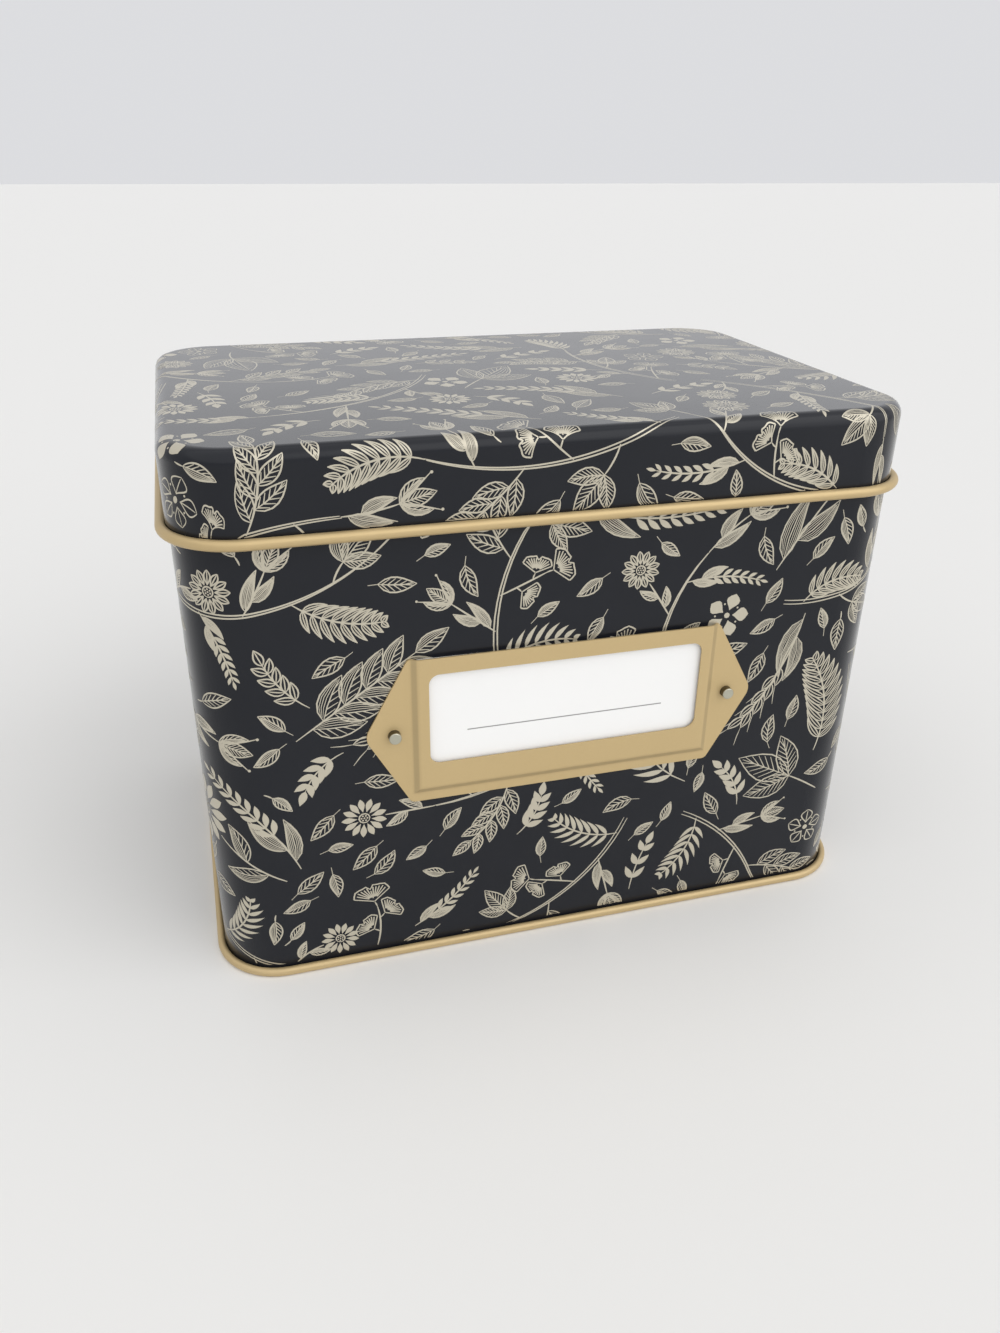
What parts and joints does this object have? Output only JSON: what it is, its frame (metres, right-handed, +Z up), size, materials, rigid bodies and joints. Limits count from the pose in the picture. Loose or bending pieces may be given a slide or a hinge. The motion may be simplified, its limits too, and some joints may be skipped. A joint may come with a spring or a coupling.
{
  "type": "recipe card box",
  "caption": "Rectangular tinplate card box with a hinged slip lid, rolled base seam, riveted front label holder and tabbed dividers with filed cards.",
  "frame": {"origin": "middle of the footprint, on the surface that the box stands on", "axes": "+Z up, the labelled front faces -Y, +X to the right seen from the front"},
  "size_m": [0.1788, 0.121, 0.1348],
  "materials": {
    "printed_tin": "satin",
    "gold_tin": "satin",
    "gold_plate": "satin",
    "nickel": "satin",
    "steel_wire": "drawn",
    "white_card": "smooth card stock",
    "divider_board": "uncoated board",
    "card_stock": "uncoated card stock"
  },
  "bodies": {
    "box": {"body_wall": "printed_tin", "base_panel": "gold_tin", "hinge_loop_left": "gold_tin", "hinge_loop_right": "gold_tin", "label_holder": "gold_plate", "holder_rivets": "nickel"},
    "lid": {"lid": "printed_tin", "hinge_wire": "steel_wire"},
    "label": {"label_card": "white_card"},
    "section_01": {"divider_01": "divider_board", "recipe_card_01": "card_stock", "recipe_card_02": "card_stock"},
    "section_02": {"divider_02": "divider_board", "recipe_card_03": "card_stock", "recipe_card_04": "card_stock"},
    "section_03": {"divider_03": "divider_board", "recipe_card_05": "card_stock", "recipe_card_06": "card_stock"},
    "section_04": {"divider_04": "divider_board", "recipe_card_07": "card_stock", "recipe_card_08": "card_stock"},
    "section_05": {"divider_05": "divider_board", "recipe_card_09": "card_stock", "recipe_card_10": "card_stock"},
    "section_06": {"divider_06": "divider_board", "recipe_card_11": "card_stock", "recipe_card_12": "card_stock"},
    "section_07": {"divider_07": "divider_board", "recipe_card_13": "card_stock", "recipe_card_14": "card_stock"},
    "section_08": {"divider_08": "divider_board", "recipe_card_15": "card_stock", "recipe_card_16": "card_stock"},
    "section_09": {"divider_09": "divider_board", "recipe_card_17": "card_stock", "recipe_card_18": "card_stock"},
    "section_10": {"divider_10": "divider_board", "recipe_card_19": "card_stock", "recipe_card_20": "card_stock"},
    "section_11": {"divider_11": "divider_board", "recipe_card_21": "card_stock", "recipe_card_22": "card_stock"},
    "section_12": {"divider_12": "divider_board", "recipe_card_23": "card_stock", "recipe_card_24": "card_stock"}
  },
  "joints": [
    {"name": "lid_hinge", "type": "hinge", "parent": "box", "child": "lid", "pos_m": [0, 0.05925, 0.1156], "axis": [-1, 0, 0], "range_deg": [0, 188]},
    {"name": "label_slide", "type": "slide", "parent": "box", "child": "label", "axis": [0, 0, 1], "range_m": [0, 0.0275]},
    {"name": "section_01_tilt", "type": "hinge", "parent": "box", "child": "section_01", "pos_m": [0, 0.02185, 0.0036], "axis": [1, 0, 0], "range_deg": [0, 45]},
    {"name": "section_02_tilt", "type": "hinge", "parent": "box", "child": "section_02", "pos_m": [0, 0.02425, 0.0036], "axis": [1, 0, 0], "range_deg": [0, 41.4]},
    {"name": "section_03_tilt", "type": "hinge", "parent": "box", "child": "section_03", "pos_m": [0, 0.02665, 0.0036], "axis": [1, 0, 0], "range_deg": [0, 37.8]},
    {"name": "section_04_tilt", "type": "hinge", "parent": "box", "child": "section_04", "pos_m": [0, 0.02905, 0.0036], "axis": [1, 0, 0], "range_deg": [0, 34.2]},
    {"name": "section_05_tilt", "type": "hinge", "parent": "box", "child": "section_05", "pos_m": [0, 0.03145, 0.0036], "axis": [1, 0, 0], "range_deg": [0, 30.6]},
    {"name": "section_06_tilt", "type": "hinge", "parent": "box", "child": "section_06", "pos_m": [0, 0.03385, 0.0036], "axis": [1, 0, 0], "range_deg": [0, 27]},
    {"name": "section_07_tilt", "type": "hinge", "parent": "box", "child": "section_07", "pos_m": [0, 0.03625, 0.0036], "axis": [1, 0, 0], "range_deg": [0, 23.4]},
    {"name": "section_08_tilt", "type": "hinge", "parent": "box", "child": "section_08", "pos_m": [0, 0.03865, 0.0036], "axis": [1, 0, 0], "range_deg": [0, 19.8]},
    {"name": "section_09_tilt", "type": "hinge", "parent": "box", "child": "section_09", "pos_m": [0, 0.04105, 0.0036], "axis": [1, 0, 0], "range_deg": [0, 16.2]},
    {"name": "section_10_tilt", "type": "hinge", "parent": "box", "child": "section_10", "pos_m": [0, 0.04345, 0.0036], "axis": [1, 0, 0], "range_deg": [0, 12.6]},
    {"name": "section_11_tilt", "type": "hinge", "parent": "box", "child": "section_11", "pos_m": [0, 0.04585, 0.0036], "axis": [1, 0, 0], "range_deg": [0, 9]},
    {"name": "section_12_tilt", "type": "hinge", "parent": "box", "child": "section_12", "pos_m": [0, 0.04825, 0.0036], "axis": [1, 0, 0], "range_deg": [0, 5.4]}
  ],
  "couplings": [
    {"joint": "section_02_tilt", "follows": "section_01_tilt", "ratio": 0.92},
    {"joint": "section_03_tilt", "follows": "section_01_tilt", "ratio": 0.84},
    {"joint": "section_04_tilt", "follows": "section_01_tilt", "ratio": 0.76},
    {"joint": "section_05_tilt", "follows": "section_01_tilt", "ratio": 0.68},
    {"joint": "section_06_tilt", "follows": "section_01_tilt", "ratio": 0.6},
    {"joint": "section_07_tilt", "follows": "section_01_tilt", "ratio": 0.52},
    {"joint": "section_08_tilt", "follows": "section_01_tilt", "ratio": 0.44},
    {"joint": "section_09_tilt", "follows": "section_01_tilt", "ratio": 0.36},
    {"joint": "section_10_tilt", "follows": "section_01_tilt", "ratio": 0.28},
    {"joint": "section_11_tilt", "follows": "section_01_tilt", "ratio": 0.2},
    {"joint": "section_12_tilt", "follows": "section_01_tilt", "ratio": 0.12}
  ]
}
